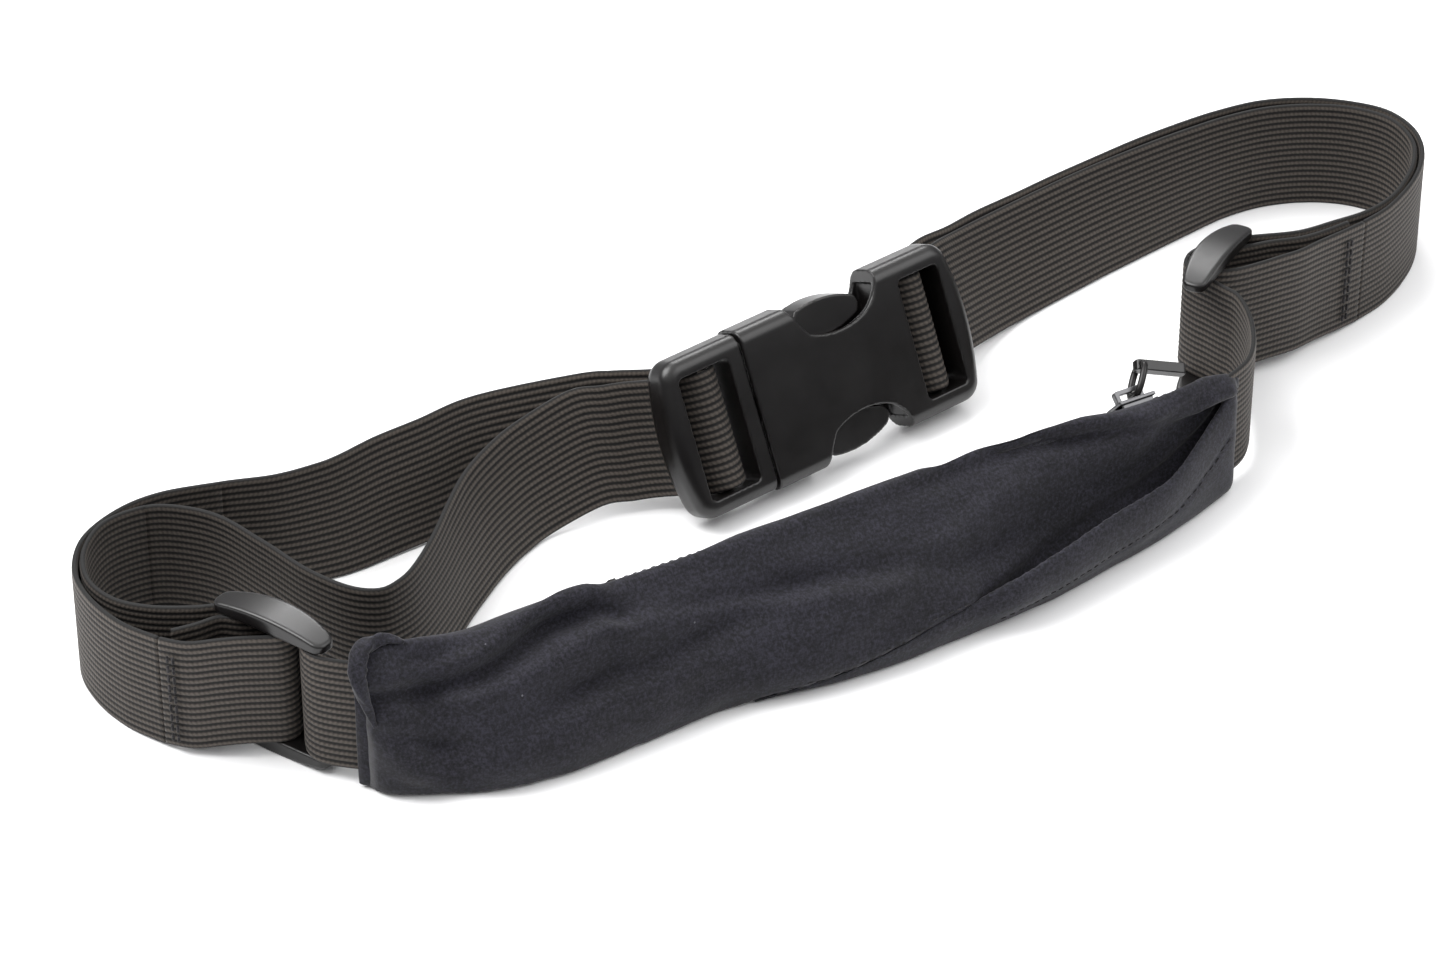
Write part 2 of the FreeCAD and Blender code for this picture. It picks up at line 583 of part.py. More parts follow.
def main():
    os.makedirs("parts", exist_ok=True)
    save("female_body", to_buckle(female_body()))
    save("male_frame", to_buckle(male_frame()))
    save("release_arm_upper", to_buckle(release_arm(1)))
    save("release_arm_lower", to_buckle(release_arm(-1)))
    save("left_adjuster", adjuster(LEFT_ADJ, LEFT_ADJ_ANGLE, 1))
    save("right_adjuster", adjuster(RIGHT_ADJ, RIGHT_ADJ_ANGLE, -1))
    save("left_strap_loop", webbing(LEFT_LOOP))
    save("left_strap_bend", webbing(LEFT_BEND))
    save("left_strap_back", webbing(LEFT_BACK))
    save("left_strap_threaded", webbing(LEFT_THREADED))
    save("left_strap_slack", webbing(LEFT_SLACK))
    save("left_buckle_loop", to_buckle(male_loop()))
    save("right_buckle_loop", to_buckle(female_loop()))
    save("right_strap_back", webbing(RIGHT_BACK))
    save("right_strap_bend", webbing(RIGHT_BEND))
    save("right_strap_loop", webbing(RIGHT_LOOP))
    save("right_strap_threaded", webbing(RIGHT_THREADED))
    save("right_strap_inner", webbing(RIGHT_INNER))
    save("left_strap_stitches", seam(-152.2, -11.6, 3.0, -55.0, -1))
    save("right_strap_stitches", seam(124.6, -3.4, 3.4, 194.0, 1))
    upper, lower, back = pouch_panels()
    save("pouch_front_panel", upper)
    save("pouch_pocket_band", lower)
    save("pouch_back_panel", back)
    save("zip_tape_upper", zip_tape(-1))
    save("zip_tape_lower", zip_tape(1))
    save("zip_teeth_upper", zip_teeth(-1))
    save("zip_teeth_lower", zip_teeth(1))
    save("zip_stops", zip_stops())
    save("zip_slider", zip_slider())
    save("zip_pull", zip_pull())
    save("zip_pull_tab", pull_tab())


main()
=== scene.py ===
import math
import bpy
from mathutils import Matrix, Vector, noise


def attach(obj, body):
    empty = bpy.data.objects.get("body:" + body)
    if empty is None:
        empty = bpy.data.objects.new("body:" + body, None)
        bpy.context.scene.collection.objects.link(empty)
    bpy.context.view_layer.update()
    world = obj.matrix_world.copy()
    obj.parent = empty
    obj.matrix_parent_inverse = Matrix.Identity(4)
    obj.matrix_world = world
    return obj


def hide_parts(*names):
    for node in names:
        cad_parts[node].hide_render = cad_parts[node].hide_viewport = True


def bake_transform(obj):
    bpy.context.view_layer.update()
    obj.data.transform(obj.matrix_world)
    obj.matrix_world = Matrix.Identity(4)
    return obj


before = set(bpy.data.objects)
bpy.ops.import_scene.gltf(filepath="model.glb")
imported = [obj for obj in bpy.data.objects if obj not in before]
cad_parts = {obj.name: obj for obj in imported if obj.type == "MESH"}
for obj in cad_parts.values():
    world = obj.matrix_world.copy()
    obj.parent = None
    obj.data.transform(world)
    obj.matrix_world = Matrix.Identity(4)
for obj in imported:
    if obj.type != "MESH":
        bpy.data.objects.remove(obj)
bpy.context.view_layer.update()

# Folded waist belt. Lengths are in millimetres in the part's own drawing frame;
# place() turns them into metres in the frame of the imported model.
MM = 0.001
SHIFT = Vector((-1.666, 2.298, 0.094))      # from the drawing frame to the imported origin
UP = Vector((0, 0, 1))

WEB_WIDTH = 25.0
WEB_HALF_THICK = 0.62
RIBS = 18
RIB_DEPTH = 0.26
STEP = 1.25                     # spacing of the webbing's sections
LIFT = 3.1                      # height of the webbing inside a slot

# Slides: x, y, angle in degrees, and the sign of the distance across them
LEFT_ADJ = (-135.7, -20.2, -65.0, 1)
RIGHT_ADJ = (91.7, -3.9, 211.0, -1)
BUCKLE_MIDDLE = Vector((3.5, 13.6, 18.0))
BUCKLE_TURN = math.radians(9.6)
BUCKLE_LEAN = math.radians(25.0)

ZIP_START = -70.0
ZIP_END = 58.0
ZIP_Y = -35.8
ZIP_Z = 25.0
ZIP_TILT = math.radians(49.0)
PULL_HINGE_X = 49.8
PULL_HINGE_Z = 2.3
PULL_FALL = 37.0
PULL_WIRE = 0.72

POUCH_LEFT = -126.3             # the pouch's sewn ends
POUCH_RIGHT = 71.6
BAND_LEFT = -50.0
BAND_RIGHT = 71.4
CLOTH_PITCH = 0.8               # spacing of the cloth's sections
PANEL_THICK = 0.5
BAND_THICK = 0.45
THREAD_PITCH = 1.9              # from one stitch to the next
THREAD_LENGTH = 1.1
SLIDE_SWELL = 0.3               # how much the slides are grown
SLIDE_DROP = 1.6                # how far the ends of a slide's rails fall away
FLOOR_GAP = 0.05                # the slides stay this far above the floor
FLOOR_SIDE = 6.0                # metres

CAMERA_LENS = 124.57
CAMERA_SPOT = (-438.5, -714.4, 588.9)
CAMERA_TARGET = (-18.0, 14.0, 0.0)


def place(p):
    """Point of the drawing frame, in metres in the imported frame."""
    return (Vector(p) + SHIFT) * MM


# ---------------------------------------------------------------- materials
def new_material(name, color, roughness, specular=0.5):
    """Material with a Principled shader and its mapping helpers."""
    mat = bpy.data.materials.new(name)
    mat.use_nodes = True
    tree = mat.node_tree
    shader = tree.nodes["Principled BSDF"]
    shader.inputs["Base Color"].default_value = (*color, 1)
    shader.inputs["Roughness"].default_value = roughness
    shader.inputs["Specular IOR Level"].default_value = specular
    return mat, tree, shader


def node(tree, kind, **values):
    """New shader node with its sockets or settings filled in."""
    made = tree.nodes.new(kind)
    for key, value in values.items():
        if key in made.inputs:
            made.inputs[key].default_value = value
        else:
            setattr(made, key, value)
    return made


def ramp(tree, source, stops):
    """Colour ramp driven by source."""
    made = tree.nodes.new("ShaderNodeValToRGB")
    tree.links.new(source, made.inputs[0])
    elements = made.color_ramp.elements
    while len(elements) < len(stops):
        elements.new(0.5)
    for element, (position, color) in zip(elements, stops):
        element.position = position
        element.color = (*color, 1)
    return made.outputs["Color"]


def bump(tree, shader, height, strength, distance, chain=None):
    """Bump from a height, on top of the normal in chain."""
    made = node(tree, "ShaderNodeBump", Strength=strength, Distance=distance)
    tree.links.new(height, made.inputs["Height"])
    if chain is not None:
        tree.links.new(chain, made.inputs["Normal"])
    tree.links.new(made.outputs["Normal"], shader.inputs["Normal"])
    return made.outputs["Normal"]


def math_node(tree, operation, a, b=None):
    """Maths on sockets or plain numbers."""
    made = tree.nodes.new("ShaderNodeMath")
    made.operation = operation
    for socket, value in ((made.inputs[0], a), (made.inputs[1], b)):
        if value is None:
            continue
        if isinstance(value, (int, float)):
            socket.default_value = value
        else:
            tree.links.new(value, socket)
    return made.outputs[0]


def webbing_material():
    """Knitted elastic: corded ribs with painted highlight on the crowns and painted shade in the grooves,
    over stitch and fibre texture.
    """
    mat, tree, shader = new_material("webbing_knit", (0.06, 0.053, 0.048), 0.72, 0.35)
    uv = node(tree, "ShaderNodeUVMap")
    uv.uv_map = "weave"
    split = node(tree, "ShaderNodeSeparateXYZ")
    tree.links.new(uv.outputs["UV"], split.inputs[0])
    along, across = split.outputs[0], split.outputs[1]
    pitch = WEB_WIDTH / RIBS
    turn = math_node(tree, "MULTIPLY", across, math.pi / pitch)
    rib = math_node(tree, "ABSOLUTE", math_node(tree, "SINE", turn))
    shift = math_node(tree, "FLOOR", math_node(tree, "DIVIDE", across, pitch))
    wave = math_node(tree, "ADD", math_node(tree, "MULTIPLY", along, 2 * math.pi / 0.95),
                     math_node(tree, "MULTIPLY", shift, math.pi))
    slant = math_node(tree, "ADD", wave, math_node(tree, "MULTIPLY", across, 2.2))
    stitch = math_node(tree, "ADD", math_node(tree, "MULTIPLY", math_node(tree, "SINE", slant), 0.5), 0.5)
    fibre = node(tree, "ShaderNodeTexNoise", Scale=1.0, Detail=3.0, Roughness=0.6)
    stretch = node(tree, "ShaderNodeCombineXYZ")
    tree.links.new(math_node(tree, "MULTIPLY", along, 1.3), stretch.inputs[0])
    tree.links.new(math_node(tree, "MULTIPLY", across, 5.0), stretch.inputs[1])
    tree.links.new(stretch.outputs[0], fibre.inputs["Vector"])
    stitch_light = math_node(tree, "ADD", math_node(tree, "MULTIPLY", stitch, 0.2), 0.8)
    light = math_node(tree, "MULTIPLY", rib, stitch_light)
    fibre_light = math_node(tree, "ADD", math_node(tree, "MULTIPLY", fibre.outputs[0], 0.8), 0.6)
    light = math_node(tree, "MULTIPLY", light, fibre_light)
    # Painted light and shade: the ramp paints the rib crowns as lit and the grooves nearly black, on top of
    # the stitch and fibre texture.
    color = ramp(tree, light, [
        (0.0, (0.0012, 0.001, 0.001)),
        (0.42, (0.0055, 0.0046, 0.004)),
        (1.0, (0.082, 0.068, 0.057)),
    ])
    tree.links.new(color, shader.inputs["Base Color"])
    shader.inputs["Sheen Weight"].default_value = 0.05
    shader.inputs["Sheen Roughness"].default_value = 0.5
    normal = bump(tree, shader, math_node(tree, "MULTIPLY", stitch, rib), 0.4, 0.00012)
    bump(tree, shader, fibre.outputs[0], 0.3, 0.00012, normal)
    return mat


def shell_material(name, color, lint=0.6):
    """Fine stretch jersey: knit courses, soft mottling and a little pale lint."""
    mat, tree, shader = new_material(name, color, 0.82, 0.25)
    place_node = node(tree, "ShaderNodeTexCoord")
    points = place_node.outputs["Object"]
    cloud = node(tree, "ShaderNodeTexNoise", Scale=70.0, Detail=4.0, Roughness=0.6)
    grain = node(tree, "ShaderNodeTexNoise", Scale=1500.0, Detail=2.0, Roughness=0.7)
    knit = node(tree, "ShaderNodeTexWave", Scale=620.0, Distortion=1.6, Detail=1.0)
    knit.bands_direction = "X"
    course = node(tree, "ShaderNodeTexWave", Scale=620.0, Distortion=1.2, Detail=1.0)
    course.bands_direction = "Z"
    for texture in (cloud, grain, knit, course):
        tree.links.new(points, texture.inputs["Vector"])
    weave = math_node(tree, "MULTIPLY", knit.outputs["Fac"], course.outputs["Fac"])
    shade = math_node(tree, "ADD", math_node(tree, "MULTIPLY", cloud.outputs[0], 0.22),
                      math_node(tree, "MULTIPLY", grain.outputs[0], 0.78))
    shade = math_node(tree, "ADD", math_node(tree, "MULTIPLY", shade, 0.95),
                      math_node(tree, "MULTIPLY", weave, 0.05))
    dark = tuple(c * 0.3 for c in color)
    pale = tuple(c * 2.4 for c in color)
    base = ramp(tree, shade, [(0.34, dark), (0.47, color), (0.62, pale)])
    specks = node(tree, "ShaderNodeTexVoronoi", Scale=260.0, Randomness=1.0)
    tree.links.new(points, specks.inputs["Vector"])
    chance = node(tree, "ShaderNodeSeparateColor")
    tree.links.new(specks.outputs["Color"], chance.inputs[0])
    rare = math_node(tree, "GREATER_THAN", chance.outputs[0], 0.95)
    near = math_node(tree, "LESS_THAN", specks.outputs["Distance"], 0.055)
    dots = math_node(tree, "MULTIPLY", math_node(tree, "MULTIPLY", rare, near), lint)
    mix = node(tree, "ShaderNodeMix", data_type="RGBA")
    tree.links.new(dots, mix.inputs[0])
    tree.links.new(base, mix.inputs[6])
    mix.inputs[7].default_value = (0.16, 0.16, 0.18, 1)
    tree.links.new(mix.outputs[2], shader.inputs["Base Color"])
    shader.inputs["Sheen Weight"].default_value = 0.12
    shader.inputs["Sheen Roughness"].default_value = 0.45
    normal = bump(tree, shader, weave, 0.1, 0.00005)
    normal = bump(tree, shader, grain.outputs[0], 0.35, 0.00012, normal)
    bump(tree, shader, dots, 0.4, 0.0002, normal)
    return mat


def moulded_material(name, color, roughness, grain=0.15):
    """Moulded plastic or lacquer: fine surface texture, patchy gloss, small scuffs."""
    mat, tree, shader = new_material(name, color, roughness, 0.5)
    place_node = node(tree, "ShaderNodeTexCoord")
    points = place_node.outputs["Object"]
    fine = node(tree, "ShaderNodeTexNoise", Scale=1800.0, Detail=2.0, Roughness=0.5)
    broad = node(tree, "ShaderNodeTexNoise", Scale=90.0, Detail=5.0, Roughness=0.65)
    scuff = node(tree, "ShaderNodeTexNoise", Scale=260.0, Detail=8.0, Roughness=0.75, Distortion=2.0)
    for texture in (fine, broad, scuff):
        tree.links.new(points, texture.inputs["Vector"])
    gloss = math_node(tree, "ADD", math_node(tree, "MULTIPLY", broad.outputs[0], 0.22), roughness - 0.11)
    gloss = math_node(tree, "ADD", gloss, math_node(tree, "MULTIPLY", fine.outputs[0], 0.06))
    tree.links.new(gloss, shader.inputs["Roughness"])
    pale = tuple(c * 1.8 + 0.004 for c in color)
    scuffed = ramp(tree, scuff.outputs[0], [(0.0, color), (0.62, color), (0.74, pale)])
    tree.links.new(scuffed, shader.inputs["Base Color"])
    bump(tree, shader, fine.outputs[0], grain, 0.00003)
    return mat


WEBBING = webbing_material()
SHELL = shell_material("stretch_jersey", (0.0088, 0.0084, 0.0122))
BAND = shell_material("stretch_jersey_band", (0.0096, 0.0092, 0.0132))
BLACK = moulded_material("black_moulding", (0.0045, 0.0038, 0.0038), 0.3)
METAL = moulded_material("black_lacquer", (0.018, 0.017, 0.017), 0.26)
NICKEL = moulded_material("dark_nickel", (0.13, 0.13, 0.135), 0.3)
NICKEL.node_tree.nodes["Principled BSDF"].inputs["Metallic"].default_value = 0.9
METAL.node_tree.nodes["Principled BSDF"].inputs["Metallic"].default_value = 0.6
TEETH = moulded_material("zip_plastic", (0.02, 0.02, 0.023), 0.45)
THREAD = shell_material("sewing_thread", (0.014, 0.013, 0.014), 0.0)
TAPE = shell_material("zip_tape_weave", (0.016, 0.016, 0.02), 0.0)


# ---------------------------------------------------------------- mesh helpers
def mesh_object(name, points, faces, material, body, uvs=None):
    """Smooth mesh from points in millimetres."""
    mesh = bpy.data.meshes.new(name)
    mesh.from_pydata([place(p) for p in points], [], faces)
    if uvs:
        layer = mesh.uv_layers.new(name="weave")
        for loop in mesh.loops:
            layer.data[loop.index].uv = uvs[loop.vertex_index]
    mesh.materials.append(material)
    for polygon in mesh.polygons:
        polygon.use_smooth = True
    mesh.update()
    obj = bpy.data.objects.new(name, mesh)
    bpy.context.scene.collection.objects.link(obj)
    if body:
        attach(obj, body)
    return obj


def smooth_row(points, count):
    """Catmull-Rom rows through points of any dimension, count steps per span."""
    rows = []
    last = len(points) - 1
    for i in range(last):
        a = points[max(i - 1, 0)]
        b = points[i]
        c = points[i + 1]
        d = points[min(i + 2, last)]
        steps = count if isinstance(count, int) else count[i]
        for k in range(steps):
            t = k / steps
            rows.append(tuple(
                0.5 * (2 * q + (r - p) * t + (2 * p - 5 * q + 4 * r - s) * t * t
                       + (3 * q - p - 3 * r + s) * t ** 3)
                for p, q, r, s in zip(a, b, c, d)))
    rows.append(tuple(points[-1]))
    return rows


def baked(obj):
    """Replace an object's mesh by its evaluated one."""
    graph = bpy.context.evaluated_depsgraph_get()
    mesh = bpy.data.meshes.new_from_object(obj.evaluated_get(graph))
    obj.modifiers.clear()
    obj.data = mesh
    for polygon in mesh.polygons:
        polygon.use_smooth = True


def refined(name, node_name, voxel, rounds, material, body, swell=0.0):
    """Finely meshed copy of a moulded piece with its edges eased, and grown by swell."""
    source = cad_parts[node_name]
    mesh = source.data.copy()
    obj = bpy.data.objects.new(name, mesh)
    bpy.context.scene.collection.objects.link(obj)
    mesh.materials.clear()
    mesh.materials.append(material)
    remesh = obj.modifiers.new("remesh", "REMESH")
    remesh.mode = "VOXEL"
    remesh.voxel_size = voxel * MM
    ease = obj.modifiers.new("ease", "SMOOTH")
    ease.factor = 0.5
    ease.iterations = rounds
    if swell:
        grow = obj.modifiers.new("grow", "DISPLACE")
        grow.strength = swell * MM
        grow.mid_level = 0.0
    baked(obj)
    if not obj.data.materials:
        obj.data.materials.append(material)
    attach(obj, body)
    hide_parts(node_name)
    return obj


# ---------------------------------------------------------------- webbing
def at_adjuster(adjuster, s, n, z=LIFT):
    """Station at s along and n across a slide."""
    x0, y0, angle, side = adjuster
    c = math.cos(math.radians(angle))
    k = math.sin(math.radians(angle))
    return (x0 + s * c + n * side * k, y0 + s * k - n * side * c, z, 0)


def left_at(s, n, z=LIFT):
    """Station in the left slide's own directions."""
    return at_adjuster(LEFT_ADJ, s, n, z)


def right_at(s, n, z=LIFT):
    """Station in the right slide's own directions."""
    return at_adjuster(RIGHT_ADJ, s, n, z)


def stood(line):
    """Middle line and width direction of webbing that stands on edge."""
    rows = []
    for i, (x, y, z, lean) in enumerate(line):
        before = line[max(i - 1, 0)]
        after = line[min(i + 1, len(line) - 1)]
        along = Vector((after[0] - before[0], after[1] - before[1], 0)).normalized()
        outward = Vector((-along.y, along.x, 0))
        sine = math.sin(math.radians(lean))
        rise = outward * sine + UP * math.cos(math.radians(lean))
        middle = Vector((x, y, z + abs(sine) * 0.75)) + rise * (WEB_WIDTH / 2)
        rows.append((*middle, *rise))
    return rows


BUCKLE_BACK = Vector((-math.sin(BUCKLE_TURN), math.cos(BUCKLE_TURN), 0))
BUCKLE_U = Vector((math.cos(BUCKLE_TURN), math.sin(BUCKLE_TURN), 0))
BUCKLE_V = BUCKLE_BACK * math.sin(BUCKLE_LEAN) + UP * math.cos(BUCKLE_LEAN)
BUCKLE_W = BUCKLE_BACK * -math.cos(BUCKLE_LEAN) + UP * math.sin(BUCKLE_LEAN)


def at_buckle(u, w, drift):
    """Row of webbing in the buckle's own directions."""
    middle = BUCKLE_MIDDLE + BUCKLE_U * u + BUCKLE_V * drift + BUCKLE_W * w
    return (*middle, *BUCKLE_V)


def strap(name, rows, body, nodes, start=0.0, lead=None, trail=None):
    """Ribbed elastic along rows of (middle, width direction); lead and trail are its neighbours' rows."""
    rows = ([lead] if lead else []) + rows + ([trail] if trail else [])
    counts = []
    for a, b in zip(rows, rows[1:]):
        counts.append(max(2, round((Vector(a[:3]) - Vector(b[:3])).length / STEP)))
    line = smooth_row(rows, counts)
    first = counts[0] if lead else 0
    last = len(line) - 1 - (counts[-1] if trail else 0)
    profile = []
    per_rib = 4
    total = RIBS * per_rib
    for i in range(total + 1):
        across = -WEB_WIDTH / 2 + WEB_WIDTH * i / total
        groove = abs(math.sin(math.pi * i / per_rib))
        edge = min(i, total - i) / per_rib
        thick = WEB_HALF_THICK - RIB_DEPTH * (1 - math.sqrt(groove))
        if edge < 1:
            thick = WEB_HALF_THICK * (0.55 + 0.5 * math.sqrt(edge))
        profile.append((across, thick))
    ring = [(a, t) for a, t in profile] + [(a, -t) for a, t in reversed(profile)]
    points = []
    uvs = []
    length = start
    for i in range(first, last + 1):
        row = line[i]
        middle = Vector(row[:3])
        width = Vector(row[3:]).normalized()
        before = Vector(line[max(i - 1, 0)][:3])
        after = Vector(line[min(i + 1, len(line) - 1)][:3])
        along = (after - before).normalized()
        normal = along.cross(width).normalized()
        if i > first:
            length += (middle - Vector(line[i - 1][:3])).length
        for a, t in ring:
            wobble = 0.10 * noise.noise(Vector((length * 0.09, a * 0.05, 0)))
            points.append(middle + width * a + normal * (t + wobble))
            uvs.append((length, a))
    size = len(ring)
    faces = []
    spans = last - first
    for i in range(spans):
        for k in range(size):
            j = (k + 1) % size
            faces.append((i * size + k, i * size + j, (i + 1) * size + j, (i + 1) * size + k))
    faces.append(tuple(range(size - 1, -1, -1)))
    faces.append(tuple(spans * size + k for k in range(size)))
    obj = mesh_object(name, points, faces, WEBBING, body, uvs)
    if nodes:
        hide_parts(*nodes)
    return obj, length


LEFT_LOOP = stood([
    (-153.6, -9.0, 0.6, 0), (-150.2, -13.9, 1.4, 0), left_at(-6.8, 7.9, 2.6),
    left_at(-3.2, 5.4), left_at(0.2, 2.6), left_at(2.6, 0.4), left_at(3.4, -2.2),
    left_at(2.2, -4.4), left_at(0.0, -5.1), left_at(-2.3, -4.4), left_at(-4.2, -2.2),
    left_at(-7.0, 0.4), left_at(-10.6, 2.2), (-146.6, -10.6, 2.4, 0), (-151.0, -8.6, 1.2, 0),
])
LEFT_BEND = stood([
    (-153.75, -8.75, 0.6, 0), (-157.6, 0.0, 0, 0), (-159.4, 10.0, 0, 0), (-158.3, 19.5, 0, 0),
    (-152.8, 28.4, 0, 0), (-143.5, 33.6, 0, 0), (-133.5, 34.9, 0, 0), (-121.8, 31.0, 0, 3),
    (-112.0, 26.4, 0, 7),
])[:-1]
LEFT_BACK = stood([
    (-133.5, 34.9, 0, 0), (-121.8, 31.0, 0, 3),
    (-112.0, 26.4, 0, 7), (-102.8, 23.97, 0, 12), (-96.0, 23.6, 0, 15), (-86.5, 24.6, 0, 19),
    (-76.0, 25.6, 0, 20), (-62.0, 27.0, 0, 22),
])[1:]
THREADED = stood([
    left_at(21.5, -1.9), left_at(15.0, 0.9), left_at(11.2, 1.6), left_at(8.3, 0.5),
    left_at(6.0, -2.2), left_at(4.3, -5.6), left_at(0.4, -7.3), left_at(-3.4, -6.5),
    left_at(-6.7, -3.9), left_at(-9.8, -1.2), left_at(-13.2, -0.4), (-144.6, -5.2, 2.2, 0),
    (-151.2, 0.9, 0.8, 0), (-155.8, 7.9, 0, 0), (-157.2, 16.2, 0, 0), (-154.1, 24.8, 0, 0),
    (-147.0, 31.4, 0, 0), (-137.8, 32.2, 0, 0), (-131.2, 28.2, 0, 0), (-126.2, 21.4, 0, 0),
    (-122.8, 10.4, 0, 0), (-120.0, -2.0, 0, 1), (-116.0, -11.5, 0, 2), (-111.0, -16.2, 0, 3),
    (-105.4, -16.4, 0, 5), (-99.4, -14.0, 0, 7), (-91.5, -8.0, 0, 9), (-82.0, 0.0, 0, 13),
    (-73.4, 6.6, 0, 17), (-65.6, 11.4, 0, 19), (-57.0, 14.8, 0.4, 21),
])
MALE_LOOP = [at_buckle(*p) for p in [
    (-48.2, -14.9, 3.0), (-42.0, -12.8, 1.8), (-38.5, -11.0, 1.2), (-35.4, -8.6, 0.5), (-33.2, -4.8, 0.1),
    (-31.8, -0.6, 0), (-28.4, 2.8, 0), (-24.8, 1.8, 0), (-22.8, -1.4, 0), (-23.0, -5.0, 0), (-25.4, -8.6, 0),
    (-29.4, -12.6, 0.6), (-35.4, -17.2, 2.4), (-42.0, -20.8, 4.0),
]]
FEMALE_LOOP = [at_buckle(*p) for p in [
    (46.0, -9.9, 1.0), (39.0, -8.4, 0.4), (35.4, -7.2, 0.1), (33.1, -4.4, 0), (32.4, -0.8, 0),
    (29.4, 2.8, 0), (26.4, 1.8, 0), (24.8, -1.2, 0), (25.1, -4.6, 0), (27.2, -7.8, 0),
    (31.0, -9.8, 0.1), (37.0, -11.8, 1.0), (45.0, -13.9, 2.0),
]]
RIGHT_BACK = stood([
    (56.5, 32.6, 1.2, 23), (65.0, 36.0, 0.4, 21), (75.4, 38.4, 0, 20),
    (87.0, 40.8, 0, 19), (98.0, 43.0, 0, 17), (109.0, 45.8, 0, 13), (120.0, 48.0, 0, 9), (130.4, 49.6, 0, 5),
    (140.0, 49.2, 0, 3), (149.4, 46.0, 0, 1), (156.8, 40.6, 0, 0), (161.8, 33.6, 0, 0),
    (162.6, 25.6, 0, 0), (160.0, 18.0, 0, 0), (154.6, 11.2, 0, 0), (147.0, 5.2, 0, 0),
    (138.6, 0.8, 0, 0), (130.0, -2.0, 0.4, 0),
])
RIGHT_LOOP = stood([
    (129.7, -2.1, 0.4, 0), (123.4, -3.7, 1.0, 0), (116.2, -5.4, 1.8, 0), right_at(-13.6, 12.2, 2.6),
    right_at(-8.5, 9.8), right_at(-4.1, 7.0), right_at(0.2, 3.9), right_at(2.8, 0.8),
    right_at(3.4, -2.2), right_at(2.2, -4.4), right_at(0.0, -5.1), right_at(-2.3, -4.4),
    right_at(-4.4, -2.2), right_at(-7.2, 0.3), right_at(-10.2, 3.0), right_at(-13.2, 5.6),
    (113.2, -3.0, 2.4, 0), (120.2, -2.0, 1.4, 0), (126.6, -0.9, 0.8, 0),
])
RIGHT_INNER = stood([
    (56.5, 29.4, 1.6, 24), (65.0, 33.0, 0.4, 22), (75.4, 36.0, 0, 20),
    (87.0, 38.7, 0, 18), (98.0, 41.1, 0, 15.5), (109.0, 43.3, 0, 12), (120.0, 45.4, 0, 8),
    (130.4, 47.0, 0, 4),
    (140.2, 46.5, 0, 2), (149.3, 43.2, 0, 0.5), (156.6, 37.6, 0, 0), (160.6, 30.0, 0, 0),
    (159.6, 21.0, 0, 0),
    (154.8, 13.7, 0, 0), (148.4, 8.1, 0, 0), (141.2, 3.7, 0, 0), (133.0, 1.1, 0.4, 0),
    (123.6, 0.2, 1.2, 0),
    (114.0, -0.6, 2.2, 0), right_at(-14.0, 2.6), right_at(-12.0, 0.2), right_at(-9.4, -1.7),
    right_at(-6.4, -4.2),
    right_at(-3.3, -6.5), right_at(0.3, -7.3), right_at(3.9, -6.0), right_at(5.7, -2.8),
    right_at(6.7, 0.8), right_at(7.9, 4.4), (87.9, -15.6, LIFT, 0), (86.6, -21.2, 2.6, 0),
    (84.0, -26.6, 2.2, 0), (80.4, -31.8, 2.0, 0), (76.0, -35.6, 2.0, 0), (69.0, -38.4, 2.0, 0),
])


def build_webbing():
    """Both straps, cut into pieces; the left outer bend and the strap from the buckle ride the belt, the rest
    stay in place.
    """
    joins = THREADED[:7], THREADED[6:18], THREADED[17:]
    piece, run = strap("left_web_at_pouch", joins[0], None, [], trail=THREADED[7])
    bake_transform(piece)
    piece, run = strap("left_web_inner_bend", joins[1], None, ["left_strap_threaded"], run,
                       lead=THREADED[5], trail=THREADED[18])
    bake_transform(piece)
    to_buckle = joins[2] + MALE_LOOP + LEFT_BACK[::-1]
    piece, run = strap("left_web_to_buckle", to_buckle, None,
                       ["left_strap_slack", "left_buckle_loop", "left_strap_back"], run,
                       lead=THREADED[16], trail=LEFT_BEND[-2])
    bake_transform(piece)
    piece, run = strap("left_web_outer_bend", LEFT_BEND[::-1], "belt", ["left_strap_bend"], run,
                       lead=LEFT_BACK[1])
    piece, run = strap("left_web_slide_loop", LEFT_LOOP, None, ["left_strap_loop"])
    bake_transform(piece)
    inner = RIGHT_BACK[::-1] + FEMALE_LOOP[::-1] + RIGHT_INNER[:19]
    piece, run = strap("right_web_from_buckle", inner, "belt",
                       ["right_strap_bend", "right_strap_back", "right_buckle_loop", "right_strap_inner"],
                       trail=RIGHT_INNER[19])
    piece, run = strap("right_web_at_slide", RIGHT_INNER[18:25], None, ["right_strap_threaded"], run,
                       lead=RIGHT_INNER[17], trail=RIGHT_INNER[25])
    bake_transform(piece)
    piece, run = strap("right_web_at_pouch", RIGHT_INNER[24:], None, [], run, lead=RIGHT_INNER[23])
    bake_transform(piece)
    piece, run = strap("right_web_slide_loop", RIGHT_LOOP, None, ["right_strap_loop"])
    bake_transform(piece)


